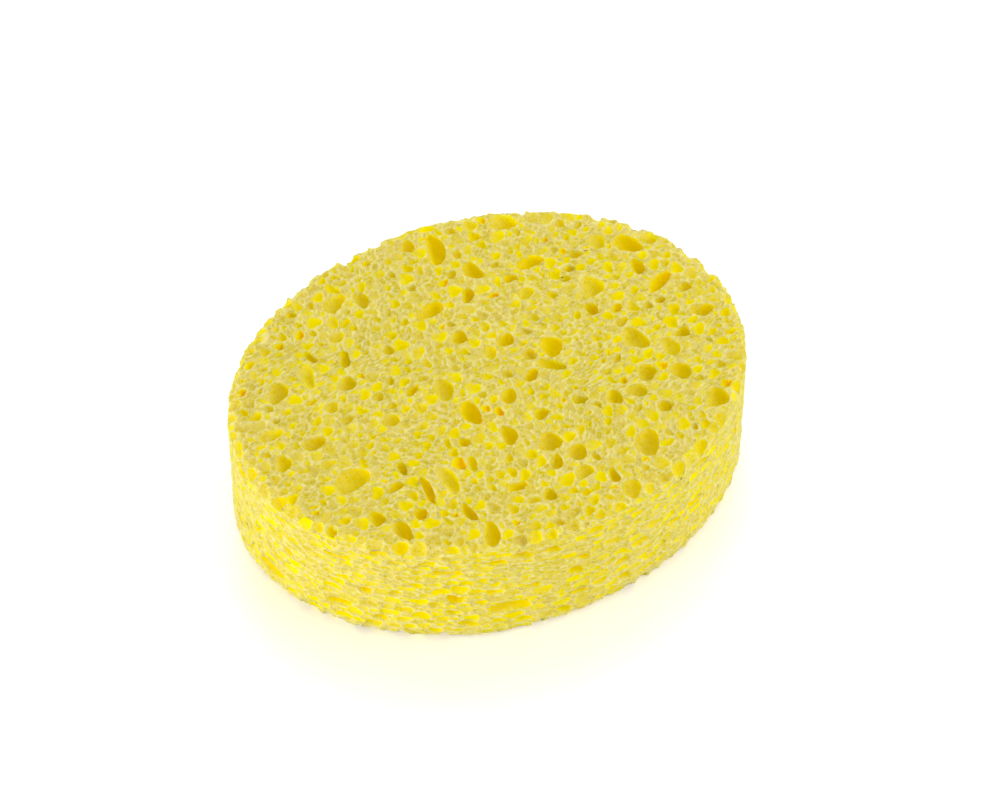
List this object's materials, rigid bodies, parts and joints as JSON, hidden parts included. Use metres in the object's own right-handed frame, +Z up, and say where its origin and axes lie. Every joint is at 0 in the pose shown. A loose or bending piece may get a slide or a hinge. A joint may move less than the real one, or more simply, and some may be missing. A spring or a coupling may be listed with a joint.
{
  "type": "bath sponge",
  "caption": "Oval bath sponge of yellow cellulose foam with open pores, a flat top and underside and an upright cut wall.",
  "frame": {"origin": "middle of the underside", "axes": "+X along the long way of the oval, +Y along its short way, +Z up through the thickness"},
  "size_m": [0.13, 0.103, 0.034],
  "materials": {
    "cellulose_foam": "dull, dry, open-pored cellulose foam dyed yellow"
  },
  "bodies": {
    "root": {"sponge": "cellulose_foam"}
  },
  "joints": []
}
